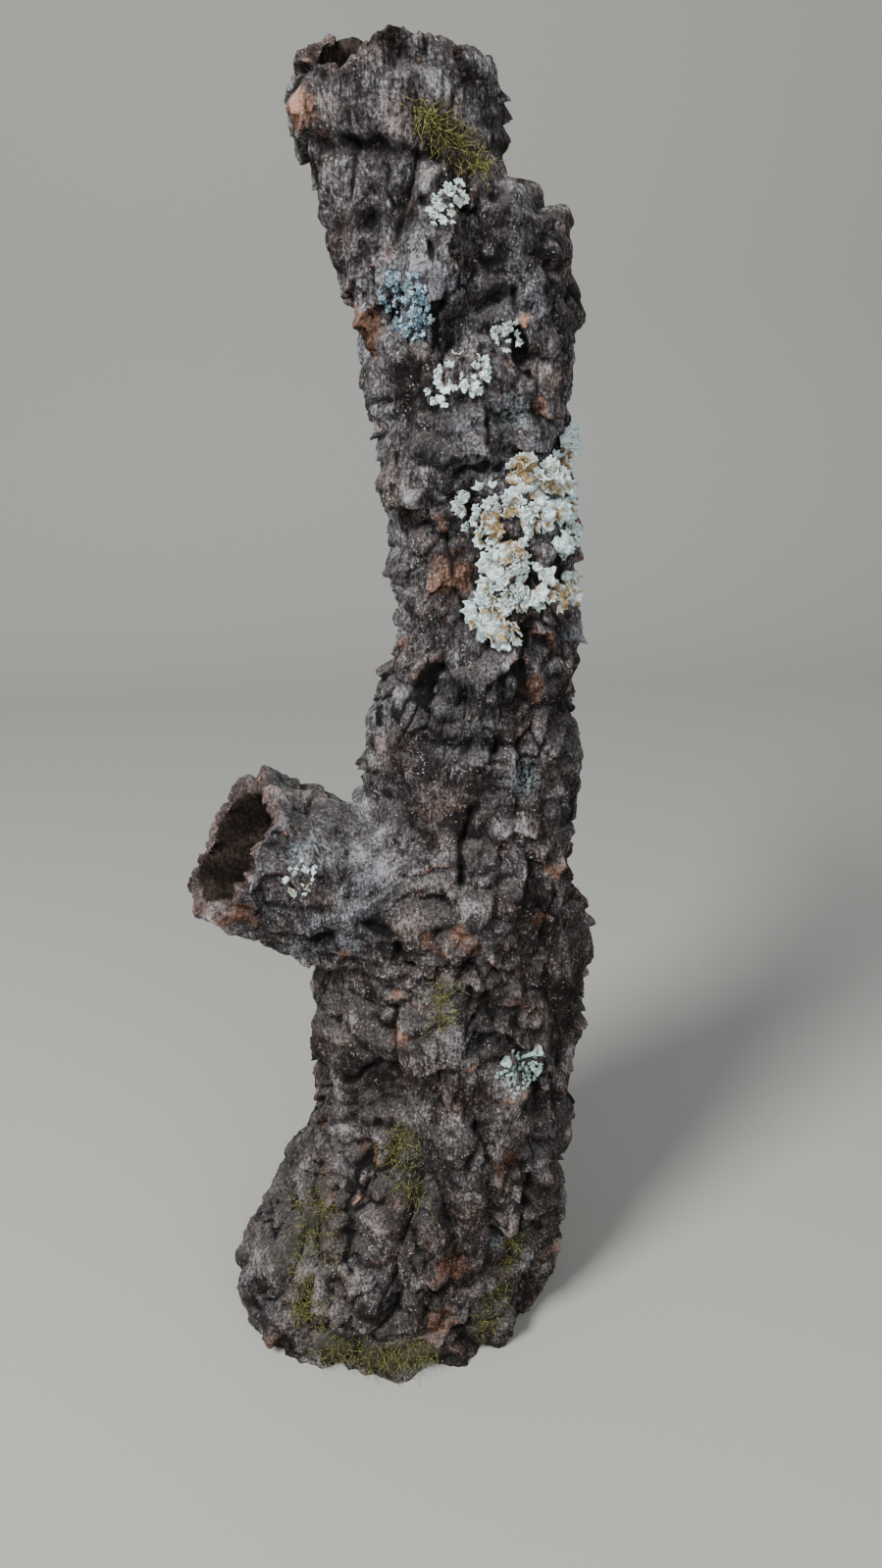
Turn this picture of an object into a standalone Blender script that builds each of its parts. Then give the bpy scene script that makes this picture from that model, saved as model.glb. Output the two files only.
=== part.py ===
"""A hollow cork branch: the bark tube of a cork oak limb, standing on its sawn foot.

The trunk flares to a wide foot, carries one short open side limb on its left, and leans left at the top beside
a broken shoulder. Lichens and moss cushions sit on the bark. Metres, +Z up, the front is -Y.
The origin is on the floor, under the middle of the branch.
"""

import math
from bisect import bisect_right

import bmesh
import bpy
from mathutils import Vector, noise
from mathutils.bvhtree import BVHTree

MM = 0.001

# The bark tube
WALL = 11.0 * MM
LIMB_WALL = 8.0 * MM
GAP = 0.3 * MM
RING_SIDES = 96
RING_STEP = 3.6 * MM
FOOT_BELOW = -5 * MM
BARK_TRIANGLES = 5300

# Height, middle from left to right, half width and half depth of the smooth trunk, in millimetres
STATIONS = [
    (-6, -9, 77, 66),
    (20, -5, 78, 66),
    (44, 1, 74, 64),
    (66, 7, 69, 61),
    (85, 13, 65, 58),
    (105, 19, 61, 55),
    (135, 21, 60, 53),
    (183, 24, 60, 52),
    (235, 29, 53, 48),
    (270, 34, 47, 44),
    (308, 38, 43, 41),
    (340, 43, 38, 38),
    (373, 46, 35, 36),
    (410, 44, 36, 36),
    (440, 37, 36, 36),
    (470, 29, 32, 34),
    (500, 22, 32, 33),
    (525, 19, 33, 33),
    (560, 15, 31, 30),
]

# Height of the broken top edge round the trunk: degrees from +X through the back, millimetres
RIM = [(0, 545), (45, 548), (90, 555), (150, 554), (180, 548), (215, 544), (240, 541), (265, 551), (300, 548),
       (360, 545)]
RIM_CHIP = 2.2 * MM

# The side limb: a point inside the trunk on the limb's axis, its direction, and its tube's ends along it
LIMB_ROOT = Vector((29, 0, 205)) * MM
LIMB_WAY = Vector((-0.78, -0.30, 0.55)).normalized()
LIMB_RADIUS = 32 * MM
LIMB_START = 62 * MM
LIMB_START_TILT = 12 * MM
LIMB_MOUTH = 115 * MM
LIMB_CUT = 80 * MM
LIMB_COLLAR = 38 * MM
LIMB_ROOM = 43.5 * MM

TRUNK_CUT = 300 * MM

# Broad forms raised on or sunk in the smooth trunk: place, reach along X, Y and Z, and height, in millimetres
FORMS = [
    ((88, 5, 204), (14, 26, 22), 9),
    ((-66, -22, 22), (22, 34, 30), 8),
    ((-70, -38, 62), (18, 26, 12), -6),
    ((-2, -20, 438), (12, 16, 12), 6),
    ((-14, 0, 534), (10, 22, 10), 7),
    ((84, -6, 330), (10, 14, 10), 2),
    ((-8, -28, 300), (12, 18, 10), 4),
    ((0, -52, 176), (22, 16, 12), 5),
    ((-36, -22, 165), (14, 18, 14), 5),
    ((30, -52, 128), (18, 14, 16), 6),
    ((-4, -50, 150), (12, 14, 14), -6),
    ((42, -38, 334), (22, 14, 12), 4),
    ((46, -36, 312), (16, 14, 6), -4),
    ((12, -56, 96), (26, 14, 18), 5),
    ((-40, -50, 92), (12, 16, 20), -5),
    ((60, -46, 60), (14, 20, 34), 4),
    ((44, -58, 50), (6, 16, 34), -5),
    ((36, -30, 430), (12, 12, 10), 4),
    ((8, -30, 492), (5, 14, 16), -5),
]

# The shoulder: what is left of a second limb, broken off on the right. Degrees round the trunk, then metres
SHOULDER_TURN = -4.0
SHOULDER_SPREAD = 46.0
SHOULDER_REACH = 21 * MM
SHOULDER_FOOT = (420 * MM, 484 * MM)
SHOULDER_TOP = (496 * MM, 514 * MM)
SHOULDER_CREASE = 6 * MM

# Bark relief: the size of its ridges and how far they stand out
GRAIN_STRETCH = 0.42
RIDGE_SIZE = 19 * MM
RIDGE_HEIGHT = 7.0 * MM
LUMP_SIZE = 34 * MM
LUMP_HEIGHT = 3.0 * MM
LEDGE_SIZE = 24 * MM
LEDGE_HEIGHT = 4.2 * MM
WARP_SIZE = 26 * MM
WARP = 7 * MM

# A borer's hole: a point on the bark, its radius and depth
PIT = (Vector((71, -31, 334)) * MM, 2.4 * MM, 7 * MM)

# Growths on the bark: node name, material, height above the bark, size of its facets, and the discs that it
# covers, each the place across and up the front and a radius, in millimetres
GROWTHS = [
    ("leafy_lichen", "lichen", 3.4, 4.0, [(54, 386, 17), (42, 396, 14), (62, 400, 13), (66, 378, 13), (46, 372, 14),
                                          (44, 361, 9), (60, 362, 12), (66, 411, 9), (71, 392, 9)]),
    ("blue_lichen", "lichen", 1.8, 3.2, [(17, 474, 8.5), (20, 466, 7)]),
    ("top_lichen", "lichen", 1.8, 3.2, [(35, 504, 4.5), (31, 499, 5)]),
    ("small_lichen", "lichen", 1.8, 3.2, [(52, 459, 5)]),
    ("shelf_lichen", "lichen", 2.2, 3.2, [(38, 448, 7.5), (29, 443, 5)]),
    ("limb_lichen", "lichen", 1.5, 3.0, [(-32, 265, 6)]),
    ("top_moss", "moss", 3.5, 3.0, [(32, 523, 7), (38, 519, 5)]),
    ("foot_moss", "moss", 4.0, 4.6, [(-43, 66, 10), (-50, 54, 9), (-38, 80, 7), (-46, 40, 8)]),
    ("heel_moss", "moss", 4.0, 4.6, [(-36, 14, 9), (-22, 12, 8), (-8, 12, 9), (4, 12, 8)]),
    ("crease_moss", "moss", 3.0, 3.2, [(50, 62, 5), (48, 48, 5), (42, 34, 6), (36, 22, 7)]),
    ("fork_moss", "moss", 3.0, 3.0, [(21, 202, 5), (21, 194, 4)]),
    ("mound_moss", "moss", 3.0, 3.4, [(2, 128, 7), (-2, 116, 7), (4, 104, 6)]),
]

# The cup lichen: its cushion, and its trumpets as foot, tip and mouth radius, in millimetres
CUP_CUSHION = [(54, 162, 7), (57, 156, 6.5)]
CUPS = [
    ((55, 163), (7.5, -5.5, 8.0), 2.3),
    ((53, 162), (-5.0, -5.5, 4.5), 2.6),
    ((58, 157), (4.0, -6.0, 1.0), 2.0),
    ((56, 156), (-4.0, -5.5, -3.0), 1.8),
]
CUP_STEM = 0.9

COLOURS = {
    "bark": ((0.13, 0.10, 0.085, 1), 0.92),
    "lichen": ((0.62, 0.66, 0.56, 1), 0.85),
    "moss": ((0.16, 0.18, 0.045, 1), 0.95),
}


def clear_scene():
    for old in list(bpy.data.objects):
        bpy.data.objects.remove(old, do_unlink=True)


def material(name):
    """The one material of each kind, made when it is first asked for."""
    made = bpy.data.materials.get(name)
    if made is None:
        made = bpy.data.materials.new(name)
        made.use_nodes = True
        colour, roughness = COLOURS[name]
        shader = made.node_tree.nodes["Principled BSDF"]
        shader.inputs["Base Color"].default_value = colour
        shader.inputs["Roughness"].default_value = roughness
        shader.inputs["Metallic"].default_value = 0.0
    return made


def add_object(name, mesh, kind=None):
    """A new object that shows mesh. With no kind it is a helper, which isn't a part of the branch."""
    made = bpy.data.objects.new(name, mesh)
    bpy.context.scene.collection.objects.link(made)
    if kind:
        mesh.materials.append(material(kind))
    else:
        made.hide_render = True
        made.display_type = "WIRE"
    return made


def mesh_from(name, bm):
    mesh = bpy.data.meshes.new(name)
    bm.to_mesh(mesh)
    bm.free()
    return mesh


def boolean(obj, tool, operation):
    cut = obj.modifiers.new(operation.lower() + "_" + tool.name, "BOOLEAN")
    cut.operation = operation
    cut.solver = "EXACT"
    cut.object = tool


def smooth_step(low, high, value):
    share = min(1.0, max(0.0, (value - low) / (high - low)))
    return share * share * (3 - 2 * share)


def between(rows, at):
    """The values of rows at a place between their first columns, on one smooth curve through them all."""
    places = [row[0] for row in rows]
    last = len(rows) - 1
    i = min(last - 1, max(0, bisect_right(places, at) - 1))
    before, start, end, after = rows[max(0, i - 1)], rows[i], rows[i + 1], rows[min(last, i + 2)]
    span = end[0] - start[0]
    t = min(1.0, max(0.0, (at - start[0]) / span))
    found = []
    for column in range(1, len(start)):
        slope_in = (end[column] - before[column]) / (end[0] - before[0]) * span
        slope_out = (after[column] - start[column]) / (after[0] - start[0]) * span
        found.append((2 * t**3 - 3 * t**2 + 1) * start[column] + (t**3 - 2 * t**2 + t) * slope_in
                     + (3 * t**2 - 2 * t**3) * end[column] + (t**3 - t**2) * slope_out)
    return found


def shoulder(turn, height):
    """How far the broken shoulder pushes the trunk's side out, and the crease before it pulls it in."""
    rise = smooth_step(*SHOULDER_FOOT, height) * (1 - smooth_step(*SHOULDER_TOP, height))
    off = (math.degrees(turn) - SHOULDER_TURN + 180) % 360 - 180
    bulge = math.exp(-((off / SHOULDER_SPREAD) ** 4)) * SHOULDER_REACH
    crease = math.exp(-(((off + SHOULDER_SPREAD + 6) / 12) ** 2)) * SHOULDER_CREASE
    return rise * (bulge - crease)


def trunk_point(turn, share):
    """A point on the smooth trunk: turn runs from +X through the back, share from the foot to the broken top."""
    rim = between(RIM, math.degrees(turn) % 360)[0] * MM
    rim += RIM_CHIP * noise.noise(Vector((math.cos(turn), math.sin(turn), 4.2)) * 4.5)
    height = FOOT_BELOW + share * (rim - FOOT_BELOW)
    middle, half_width, half_depth = (value * MM for value in between(STATIONS, height / MM))
    push = shoulder(turn, height)
    return Vector((middle + (half_width + push) * math.cos(turn), (half_depth + push) * math.sin(turn), height))


def limb_point(turn, share):
    """A point on the smooth side limb, which starts on a slant along the trunk and ends in its broken mouth."""
    level = Vector((0, 0, 1)).cross(LIMB_WAY).normalized()
    up = LIMB_WAY.cross(level).normalized()
    start = LIMB_START + LIMB_START_TILT * math.sin(turn)
    mouth = LIMB_MOUTH + 5 * MM * noise.noise(Vector((math.cos(turn), math.sin(turn), 1.7)) * 1.6)
    radius = LIMB_RADIUS * (1.04 - 0.05 * share)
    across = (level * math.cos(turn) + up * math.sin(turn)) * radius
    return LIMB_ROOT + LIMB_WAY * (start + share * (mouth - start)) + across


def add_tube(bm, sides, rings, place):
    """An open tube of sides by rings faces, each corner put where place says."""
    made = bmesh.ops.create_grid(bm, x_segments=sides, y_segments=rings, size=0.5)["verts"]
    for vert in made:
        vert.co = place((vert.co.x + 0.5) * 2 * math.pi, vert.co.y + 0.5)
    bmesh.ops.remove_doubles(bm, verts=made, dist=0.01 * MM)


def from_limb_axis(point):
    """How far along the side limb's axis a point is, and how far from it."""
    run = (point - LIMB_ROOT).dot(LIMB_WAY)
    return run, (point - LIMB_ROOT - LIMB_WAY * run).length


def forms_at(point):
    """The height of the broad forms at a point."""
    total = 0.0
    for place, reach, rise in FORMS:
        far = sum(((p / MM - c) / r) ** 2 for p, c, r in zip(point, place, reach))
        if far < 9:
            total += rise * MM * math.exp(-far)
    return total


def smooth_skin():
    """The smooth open skin of the trunk with its side limb and its broad forms."""
    bm = bmesh.new()
    rings = round(STATIONS[-1][0] * MM / RING_STEP)
    add_tube(bm, RING_SIDES, rings, trunk_point)
    inside = []
    for face in bm.faces:
        run, off = from_limb_axis(face.calc_center_median())
        if run > 0 and off < LIMB_COLLAR:
            inside.append(face)
    bmesh.ops.delete(bm, geom=inside, context="FACES")
    collar = [edge for edge in bm.edges if edge.is_boundary and FOOT_BELOW + RING_STEP < edge.verts[0].co.z
              and edge.verts[0].co.z < TRUNK_CUT]
    trunk = set(bm.verts)
    limb_sides = round(RING_SIDES * 0.75)
    limb_rings = round((LIMB_MOUTH - LIMB_START) / RING_STEP)
    add_tube(bm, limb_sides, limb_rings, limb_point)
    low = LIMB_START + LIMB_START_TILT + 1 * MM
    start = [edge for edge in bm.edges if edge.is_boundary and edge.verts[0] not in trunk
             and from_limb_axis(edge.verts[0].co)[0] < low]
    joined = bmesh.ops.bridge_loops(bm, edges=collar + start)["faces"]
    added = {edge for face in joined for edge in face.edges} - set(collar) - set(start)
    bmesh.ops.subdivide_edges(bm, edges=[edge for edge in bm.edges if edge in added], cuts=2)
    soft = []
    for vert in bm.verts:
        run, off = from_limb_axis(vert.co)
        if run > 0 and run < LIMB_CUT + 10 * MM and off > LIMB_RADIUS - 2 * MM and off < LIMB_COLLAR + 12 * MM:
            soft.append(vert)
    for _ in range(16):
        bmesh.ops.smooth_vert(bm, verts=soft, factor=0.5, use_axis_x=True, use_axis_y=True, use_axis_z=True)
    bmesh.ops.recalc_face_normals(bm, faces=bm.faces)
    bm.normal_update()
    if max(bm.verts, key=lambda vert: vert.co.x).normal.x < 0:
        bmesh.ops.reverse_faces(bm, faces=bm.faces)
        bm.normal_update()
    for vert, rise in [(vert, forms_at(vert.co)) for vert in bm.verts]:
        vert.co += vert.normal * rise
    bm.normal_update()
    return bm


def limb_share(point):
    """How far a point belongs to the side limb, from 0 on the trunk to 1 on the limb."""
    run, off = from_limb_axis(point)
    return smooth_step(40 * MM, 75 * MM, run) * (1 - smooth_step(42 * MM, 60 * MM, off))


def grain_place(point):
    """The point in a space shortened along the grain, so that a pattern there comes out long on the bark."""
    way = Vector((0, 0, 1)).lerp(LIMB_WAY, limb_share(point)).normalized()
    return point - way * (point - LIMB_ROOT).dot(way) * (1 - GRAIN_STRETCH)


def bark_relief(point):
    """How far the bark stands out from its smooth skin: ridges between sharp fissures, lumps and ledges."""
    place = grain_place(point)
    drift = [noise.noise(place / WARP_SIZE + Vector((9.3, 0, 5.1)) * k) for k in (1, 2, 3)]
    place = place + Vector(drift) * WARP
    ridge = min(1.0, abs(noise.noise(place / RIDGE_SIZE)) * 2.4) ** 0.7
    lump = noise.noise(point / LUMP_SIZE + Vector((3, 8, 1)))
    flat = Vector((place.x, place.y, point.z * 2.1)) / LEDGE_SIZE
    ledge = min(1.0, abs(noise.noise(flat + Vector((9, 2, 5)))) * 2.6)
    where = smooth_step(-0.15, 0.25, noise.noise(point / (LUMP_SIZE * 1.3) + Vector((7, 1, 4))))
    rise = RIDGE_HEIGHT * (ridge - 0.55) + LUMP_HEIGHT * lump + LEDGE_HEIGHT * where * (ledge - 0.6)
    hole, radius, depth = PIT
    return rise - depth * math.exp(-(((point - hole).length / radius) ** 2))


def bark_tube():
    """The closed bark: the skin with its relief outside, the smooth skin moved in by the wall inside."""
    bm = smooth_skin()
    moves = [(vert.normal * bark_relief(vert.co), vert.normal * (WALL + (LIMB_WALL - WALL) * limb_share(vert.co)))
             for vert in bm.verts]
    corners, sheets = len(bm.verts), len(bm.faces)
    held = mesh_from("bark_tube", bm)
    bm = bmesh.new()
    bm.from_mesh(held)
    bm.from_mesh(held)
    outside, inside = list(bm.verts)[:corners], list(bm.verts)[corners:]
    bmesh.ops.reverse_faces(bm, faces=list(bm.faces)[sheets:])
    ends = [edge for edge in bm.edges if edge.is_boundary]
    low = [edge for edge in ends if edge.verts[0].co.z < FOOT_BELOW + RING_STEP]
    high = [edge for edge in ends if edge.verts[0].co.z > TRUNK_CUT]
    mouth = [edge for edge in ends if edge not in low and edge not in high]
    for outer, inner, (rise, wall) in zip(outside, inside, moves):
        outer.co += rise
        inner.co -= wall
    for rim in (low, high, mouth):
        bmesh.ops.bridge_loops(bm, edges=rim)
    bmesh.ops.triangulate(bm, faces=bm.faces)
    bm.to_mesh(held)
    bm.free()
    return held


def thin_out(obj, triangles):
    """A Decimate modifier that leaves about this many triangles."""
    fewer = obj.modifiers.new("fewer_faces", "DECIMATE")
    fewer.ratio = triangles / len(obj.data.polygons)


def add_box(name, low, high):
    """A helper box as wide and deep as any piece, between two heights."""
    bm = bmesh.new()
    bmesh.ops.create_cube(bm, size=1)
    bmesh.ops.scale(bm, verts=bm.verts, vec=(1, 1, high - low))
    bmesh.ops.translate(bm, verts=bm.verts, vec=(0, 0, (high + low) / 2))
    return add_object(name, mesh_from(name, bm))


def add_limb_room(name, low):
    """A helper cylinder round the side limb, from low along its axis to past its mouth."""
    high = LIMB_MOUTH + 30 * MM
    bm = bmesh.new()
    bmesh.ops.create_cone(bm, segments=32, cap_ends=True, radius1=LIMB_ROOM, radius2=LIMB_ROOM, depth=high - low)
    bmesh.ops.translate(bm, verts=bm.verts, vec=(0, 0, (high + low) / 2))
    bmesh.ops.rotate(bm, verts=bm.verts, cent=(0, 0, 0), matrix=LIMB_WAY.to_track_quat("Z", "Y").to_matrix())
    bmesh.ops.translate(bm, verts=bm.verts, vec=LIMB_ROOT)
    return add_object(name, mesh_from(name, bm))


def add_bark():
    """The three pieces of the bark, cut from one tube: the foot and fork, the upper trunk and the side limb."""
    tube = bark_tube()
    above_floor = add_box("above_floor", 0, TRUNK_CUT - GAP / 2)
    above_cut = add_box("above_cut", TRUNK_CUT + GAP / 2, 1)
    limb_room = add_limb_room("limb_room", LIMB_CUT - GAP / 2)
    limb_piece = add_limb_room("limb_piece", LIMB_CUT + GAP / 2)
    for name, cuts in (
        ("lower_trunk", ((above_floor, "INTERSECT"), (limb_room, "DIFFERENCE"))),
        ("upper_trunk", ((above_cut, "INTERSECT"),)),
        ("side_limb", ((limb_piece, "INTERSECT"),)),
    ):
        piece = add_object(name, tube.copy(), "bark")
        thin_out(piece, BARK_TRIANGLES)
        for tool, operation in cuts:
            boolean(piece, tool, operation)
    whole = add_object("whole_bark", tube)
    thin_out(whole, BARK_TRIANGLES)
    swollen = add_object("swollen_bark", tube.copy())
    thin_out(swollen, BARK_TRIANGLES)
    swell = swollen.modifiers.new("clearance", "DISPLACE")
    swell.strength = GAP
    swell.mid_level = 0.0
    return whole, swollen


def front_point(tree, across, up):
    """Where a level line from the front at this place first meets the bark, and the way out from it there."""
    place, way, _, _ = tree.ray_cast(Vector((across * MM, -0.3, up * MM)), Vector((0, 1, 0)))
    return place, way


def patch(tree, discs, height, cell, sunk=1.8 * MM):
    """A closed pad that follows the bark under the discs, from sunk below it to height above it."""
    seats = [(front_point(tree, x, z)[0], radius * MM) for x, z, radius in discs]
    out = Vector((0, 0, 0))
    for x, z, _ in discs:
        for dx, dz in ((0, 0), (4, 0), (-4, 0), (0, 4), (0, -4)):
            place, way = front_point(tree, x + dx, z + dz)
            if place is not None:
                out += way
    out.normalize()
    turn = out.to_track_quat("Z", "Y").to_matrix()
    middle = sum((place for place, _ in seats), Vector()) / len(seats)
    spread = max((place - middle).length + radius for place, radius in seats) + cell
    count = max(4, round(2 * spread / cell))
    bm = bmesh.new()
    bmesh.ops.create_grid(bm, x_segments=count, y_segments=count, size=spread)

    def on_bark(flat):
        start = middle + turn @ Vector((flat.x, flat.y, 0)) + out * 0.06
        return tree.ray_cast(start, -out, 0.12)[0]

    kept = set()
    for face in bm.faces:
        place = on_bark(face.calc_center_median())
        if place is not None:
            edge = 1 + 0.28 * noise.noise(place / (6 * MM))
            if any((place - seat).length < radius * edge for seat, radius in seats):
                kept.add(face)
    for _ in range(3):
        for vert in bm.verts:
            here = [face for face in vert.link_faces if face in kept]
            if len(here) == 2 and not set(here[0].edges) & set(here[1].edges):
                kept.update(vert.link_faces)
    islands = []
    while kept:
        island, grow = set(), [kept.pop()]
        while grow:
            face = grow.pop()
            island.add(face)
            near = {other for edge in face.edges for other in edge.link_faces} & kept
            kept -= near
            grow += near
        islands.append(island)
    biggest = max(islands, key=len)
    bmesh.ops.delete(bm, geom=[face for face in bm.faces if face not in biggest], context="FACES")
    rim = [vert for vert in bm.verts if vert.is_boundary]
    for _ in range(2):
        bmesh.ops.smooth_vert(bm, verts=rim, factor=0.5, use_axis_x=True, use_axis_y=True)
    rises = {}
    for vert in bm.verts:
        place = on_bark(vert.co) or middle + turn @ vert.co
        share = 0.7 if vert.is_boundary else 1.0
        vert.co = place - out * sunk
        rises[tuple(vert.co)] = height * (share + 0.18 * noise.noise(place / (5 * MM)))
    grown = bmesh.ops.extrude_face_region(bm, geom=list(bm.faces), use_keep_orig=True)["geom"]
    for vert in grown:
        if isinstance(vert, bmesh.types.BMVert):
            vert.co += out * (sunk + rises[tuple(vert.co)])
    bmesh.ops.triangulate(bm, faces=bm.faces)
    bmesh.ops.recalc_face_normals(bm, faces=bm.faces)
    return bm


def trumpet(foot, tip, mouth):
    """One trumpet of the cup lichen, a stem that widens to an open cup."""
    bm = bmesh.new()
    stages = [(0.55, CUP_STEM * 0.9 * MM), (0.8, mouth * 0.75), (1.0, mouth), (0.93, mouth * 0.68),
              (0.78, mouth * 0.3)]
    bmesh.ops.create_circle(bm, segments=7, radius=CUP_STEM * MM, cap_ends=True)
    loop = list(bm.edges)
    length = (tip - foot).length
    for share, radius in stages:
        grown = bmesh.ops.extrude_edge_only(bm, edges=loop)["geom"]
        ring = [part for part in grown if isinstance(part, bmesh.types.BMVert)]
        loop = [part for part in grown if isinstance(part, bmesh.types.BMEdge) and set(part.verts) <= set(ring)]
        for vert in ring:
            across = Vector((vert.co.x, vert.co.y, 0)).normalized() * radius
            vert.co = (across.x, across.y, share * length)
    bmesh.ops.edgenet_fill(bm, edges=loop)
    bmesh.ops.recalc_face_normals(bm, faces=bm.faces)
    way = (tip - foot).to_track_quat("Z", "Y").to_matrix()
    bmesh.ops.rotate(bm, verts=bm.verts, cent=(0, 0, 0), matrix=way)
    bmesh.ops.translate(bm, verts=bm.verts, vec=foot)
    return mesh_from("trumpet", bm)


def add_growths(whole, swollen):
    bpy.context.view_layer.update()
    tree = BVHTree.FromObject(whole, bpy.context.evaluated_depsgraph_get())
    for name, kind, height, cell, discs in GROWTHS:
        pad = add_object(name, mesh_from(name, patch(tree, discs, height * MM, cell * MM)), kind)
        boolean(pad, swollen, "DIFFERENCE")
    cups = add_object("cup_lichen", mesh_from("cup_lichen", patch(tree, CUP_CUSHION, 2.0 * MM, 2.8 * MM)), "lichen")
    for number, ((x, z), way, mouth) in enumerate(CUPS):
        place = front_point(tree, x, z)[0]
        foot = place + Vector((0, 1.2, 0)) * MM
        tool = add_object("trumpet_" + str(number), trumpet(foot, place + Vector(way) * MM, mouth * MM))
        boolean(cups, tool, "UNION")
    boolean(cups, swollen, "DIFFERENCE")


def main():
    clear_scene()
    whole, swollen = add_bark()
    add_growths(whole, swollen)


main()
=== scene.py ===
import math
import random
from bisect import bisect_right

import bmesh
import bpy
from mathutils import Matrix, Vector, noise
from mathutils.bvhtree import BVHTree


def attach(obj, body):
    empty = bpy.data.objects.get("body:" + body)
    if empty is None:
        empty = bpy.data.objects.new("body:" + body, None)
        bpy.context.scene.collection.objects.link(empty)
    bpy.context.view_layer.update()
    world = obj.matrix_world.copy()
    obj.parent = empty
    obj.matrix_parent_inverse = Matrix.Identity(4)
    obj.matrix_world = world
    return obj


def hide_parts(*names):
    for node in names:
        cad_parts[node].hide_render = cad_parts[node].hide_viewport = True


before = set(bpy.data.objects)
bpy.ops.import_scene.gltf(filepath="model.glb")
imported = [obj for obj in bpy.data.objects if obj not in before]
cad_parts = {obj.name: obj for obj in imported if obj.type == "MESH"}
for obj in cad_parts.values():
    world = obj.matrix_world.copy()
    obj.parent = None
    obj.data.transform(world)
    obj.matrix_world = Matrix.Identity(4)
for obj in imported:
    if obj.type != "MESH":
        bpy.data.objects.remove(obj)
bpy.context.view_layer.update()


# The bark. One hollow tube of virgin cork from a cork oak limb: a trunk that flares to a sawn foot, the stump
# of a side limb on the left and a broken shoulder on the right. It grew as one piece, rough, matt and deeply
# cracked outside and smoother inside, and is shown as the three pieces that the solid is cut into.
MM = 0.001
WALL = 11 * MM
TOP_WALL = 7 * MM
LIMB_WALL = 8 * MM
GAP = 0.3 * MM
RING_SIDES = 76
RING_STEP = 4.5 * MM
FINER = 2
FOOT_BELOW = -5 * MM
TRUNK_CUT = 300 * MM
# Height, middle from left to right, half width and half depth of the smooth trunk, in millimetres
STATIONS = [(-6, -9, 77, 66), (20, -5, 78, 66), (44, 1, 74, 64), (66, 7, 69, 61), (85, 13, 65, 58),
            (105, 19, 61, 55), (135, 21, 60, 53), (183, 24, 60, 52), (235, 29, 53, 48), (270, 34, 47, 44),
            (308, 38, 43, 41), (340, 43, 38, 38), (373, 46, 35, 36), (410, 44, 36, 36), (440, 37, 36, 36),
            (470, 29, 32, 34), (500, 22, 32, 33), (525, 19, 33, 33), (560, 15, 31, 30)]
# Height of the broken top edge round the trunk: degrees from +X through the back, millimetres
RIM = [(0, 545), (45, 548), (90, 555), (150, 554), (180, 548), (215, 544), (240, 541), (265, 551),
       (300, 548), (360, 545)]
RIM_CHIP = 2.2 * MM
# The side limb: a point inside the trunk on the limb's axis, its direction, and its tube's ends along it
LIMB_ROOT = Vector((29, 0, 205)) * MM
LIMB_WAY = Vector((-0.78, -0.30, 0.55)).normalized()
LIMB_RADIUS = 32 * MM
LIMB_START = 62 * MM
LIMB_START_TILT = 12 * MM
LIMB_MOUTH = 115 * MM
LIMB_CUT = 80 * MM
LIMB_COLLAR = 38 * MM
LIMB_ROOM = 43.5 * MM
# Broad forms raised on or sunk in the smooth trunk: place, reach along X, Y and Z, and height, in millimetres
FORMS = [((88, 5, 204), (14, 26, 22), 9), ((-66, -22, 22), (22, 34, 30), 8),
         ((-70, -38, 62), (18, 26, 12), -6), ((-2, -20, 438), (12, 16, 12), 6),
         ((-14, 0, 534), (10, 22, 10), 7), ((84, -6, 330), (10, 14, 10), 2),
         ((-8, -28, 300), (12, 18, 10), 4), ((0, -52, 176), (22, 16, 12), 5),
         ((-36, -22, 165), (14, 18, 14), 5), ((30, -52, 128), (18, 14, 16), 6),
         ((-4, -50, 150), (12, 14, 14), -6), ((42, -38, 334), (22, 14, 12), 4),
         ((46, -36, 312), (16, 14, 6), -4), ((12, -56, 96), (26, 14, 18), 5),
         ((-40, -50, 92), (12, 16, 20), -5), ((60, -46, 60), (14, 20, 34), 4),
         ((44, -58, 50), (6, 16, 34), -5), ((36, -30, 430), (12, 12, 10), 4),
         ((8, -30, 492), (5, 14, 16), -5)]
SHOULDER_TURN = -4.0
SHOULDER_SPREAD = 46.0
SHOULDER_REACH = 21 * MM
SHOULDER_FOOT = (420 * MM, 484 * MM)
SHOULDER_TOP = (496 * MM, 514 * MM)
SHOULDER_CREASE = 6 * MM
# The solid's own relief
GRAIN_STRETCH = 0.42
RIDGE_SIZE = 19 * MM
RIDGE_HEIGHT = 7.0 * MM
LUMP_SIZE = 34 * MM
LUMP_HEIGHT = 3.0 * MM
LEDGE_SIZE = 24 * MM
LEDGE_HEIGHT = 4.2 * MM
WARP_SIZE = 26 * MM
WARP = 7 * MM
PIT = (Vector((71, -31, 334)) * MM, 2.4 * MM, 7 * MM)
# Finer relief: plates of cork with cracks between them, ledges like shingles with a lip, a crust with grit on
# it, and threads along the grain
PLATE_SIZE = 17 * MM
PLATE_HEIGHT = 2.2 * MM
PLATE_CRACK = 1.8 * MM
SHINGLE_STEP = 25 * MM
SHINGLE_LIP = 4.6 * MM
CRUST_SIZE = 7 * MM
CRUST_HEIGHT = 1.7 * MM
GRIT_SIZE = 3.6 * MM
GRIT_HEIGHT = 0.8 * MM
FINE_GRIT_SIZE = 1.9 * MM
FINE_GRIT_HEIGHT = 0.6 * MM
THREAD_SIZE = 1.9 * MM
THREAD_HEIGHT = 0.5 * MM
CHIP_HEIGHT = 1.0 * MM
# How far a raised part sags over what is below it, and the depth from which a cut is painted fully black as
# shade
SAG = 0.6
FULL_SHADE_DEPTH = 2.4 * MM
# The crumbly broken edges: how many steps turn in over the wall, and how high their crumbs are
EDGE_STEPS = 5
EDGE_CRUMB = 1.5 * MM
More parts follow.
